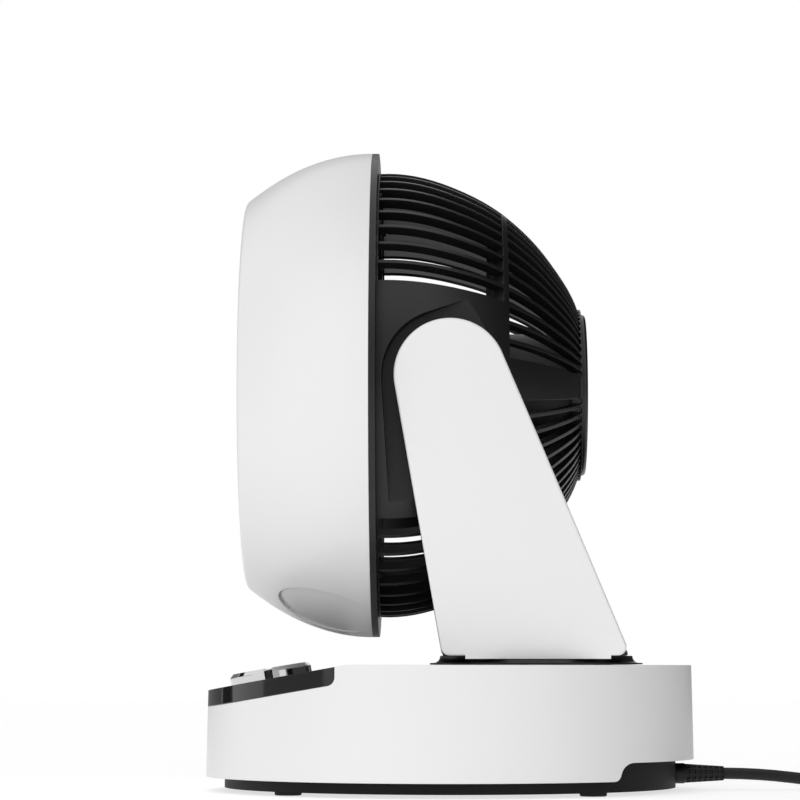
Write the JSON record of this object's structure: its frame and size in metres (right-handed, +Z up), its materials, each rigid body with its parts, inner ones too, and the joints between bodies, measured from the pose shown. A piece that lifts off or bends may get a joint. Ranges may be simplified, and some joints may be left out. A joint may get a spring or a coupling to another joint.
{
  "type": "air circulator fan",
  "caption": "Table air circulator: round ducted fan head that tilts in a yoke, on a turning round base with press keys, mains cord and plug.",
  "frame": {"origin": "on the floor at the middle of the round base, without the cord", "axes": "+Z up, -Y the way the air blows, +X the side with the plain tilt pin"},
  "size_m": [0.3, 0.5039, 0.3938],
  "materials": {
    "white_shell": "semi-gloss white",
    "black_plastic": "satin black",
    "black_gloss": "gloss black",
    "chrome_key": "polished",
    "rubber": "matte",
    "steel": "plated",
    "bearing_plastic": "natural",
    "motor_case": "satin",
    "lamination": "rolled",
    "copper_wire": "enamelled",
    "circuit_board": "lacquered",
    "dark_component": "moulded",
    "brass_pin": "plated",
    "cord_sheath": "satin flexible"
  },
  "bodies": {
    "base": {"base_shell": "white_shell", "base_plate": "black_plastic", "rubber_feet": "rubber", "base_screws": "steel", "control_panel": "black_gloss", "key_frame": "black_plastic", "control_board": "circuit_board", "tact_switches": "dark_component", "power_board": "circuit_board", "board_parts": "dark_component", "turntable_bearing": "bearing_plastic", "pan_motor": "motor_case", "strain_relief": "cord_sheath", "cord_lead": "cord_sheath", "cord_coil": "cord_sheath", "cord_tail": "cord_sheath", "cord_tie": "cord_sheath", "plug_body": "cord_sheath", "plug_pins": "brass_pin"},
    "yoke": {"yoke_saddle": "black_plastic", "turntable_retainer": "black_plastic", "pan_shaft": "steel", "arm_cover_right": "white_shell", "arm_cover_left": "white_shell", "arm_frame_right": "black_plastic", "arm_frame_left": "black_plastic", "tilt_bush_right": "bearing_plastic", "tilt_bush_left": "bearing_plastic", "tilt_motor": "motor_case", "arm_screws": "steel"},
    "head": {"front_bezel": "white_shell", "chassis_ring": "black_plastic", "duct_ring": "black_plastic", "rear_housing": "black_plastic", "rear_cap": "black_plastic", "head_screws": "steel", "trunnion_right": "bearing_plastic", "trunnion_left": "bearing_plastic", "pin_washer": "steel", "front_grille": "black_plastic", "grille_cap": "black_plastic", "stator_core": "lamination", "stator_windings": "copper_wire", "motor_front_shell": "motor_case", "motor_rear_shell": "motor_case", "motor_bearings": "steel"},
    "fan": {"impeller": "black_plastic", "impeller_nut": "black_plastic", "motor_shaft": "steel", "motor_rotor": "lamination"},
    "power_button": {"power_button": "chrome_key"},
    "key_rear_right": {"key_rear_right": "chrome_key"},
    "key_rear_left": {"key_rear_left": "chrome_key"},
    "key_front_left": {"key_front_left": "chrome_key"},
    "key_front_right": {"key_front_right": "chrome_key"}
  },
  "joints": [
    {"name": "yoke_turn", "type": "hinge", "parent": "base", "child": "yoke", "pos_m": [0, 0.05, 0.077], "axis": [0, 0, 1], "range_deg": [-37.5, 37.5]},
    {"name": "head_tilt", "type": "hinge", "parent": "yoke", "child": "head", "pos_m": [0, 0, 0.2438], "axis": [-1, 0, 0], "range_deg": [-10, 90]},
    {"name": "blade_spin", "type": "hinge", "parent": "head", "child": "fan", "pos_m": [0, 0, 0.2438], "axis": [0, 1, 0], "continuous": true},
    {"name": "power_button_press", "type": "slide", "parent": "base", "child": "power_button", "axis": [0, 0.1709, -0.9853], "range_m": [0, 0.0008], "stiffness_N_per_m": 600, "springref_m": -0.0012},
    {"name": "key_rear_right_press", "type": "slide", "parent": "base", "child": "key_rear_right", "axis": [0, 0.1709, -0.9853], "range_m": [0, 0.0008], "stiffness_N_per_m": 600, "springref_m": -0.0012},
    {"name": "key_rear_left_press", "type": "slide", "parent": "base", "child": "key_rear_left", "axis": [0, 0.1709, -0.9853], "range_m": [0, 0.0008], "stiffness_N_per_m": 600, "springref_m": -0.0012},
    {"name": "key_front_left_press", "type": "slide", "parent": "base", "child": "key_front_left", "axis": [0, 0.1709, -0.9853], "range_m": [0, 0.0008], "stiffness_N_per_m": 600, "springref_m": -0.0012},
    {"name": "key_front_right_press", "type": "slide", "parent": "base", "child": "key_front_right", "axis": [0, 0.1709, -0.9853], "range_m": [0, 0.0008], "stiffness_N_per_m": 600, "springref_m": -0.0012}
  ]
}
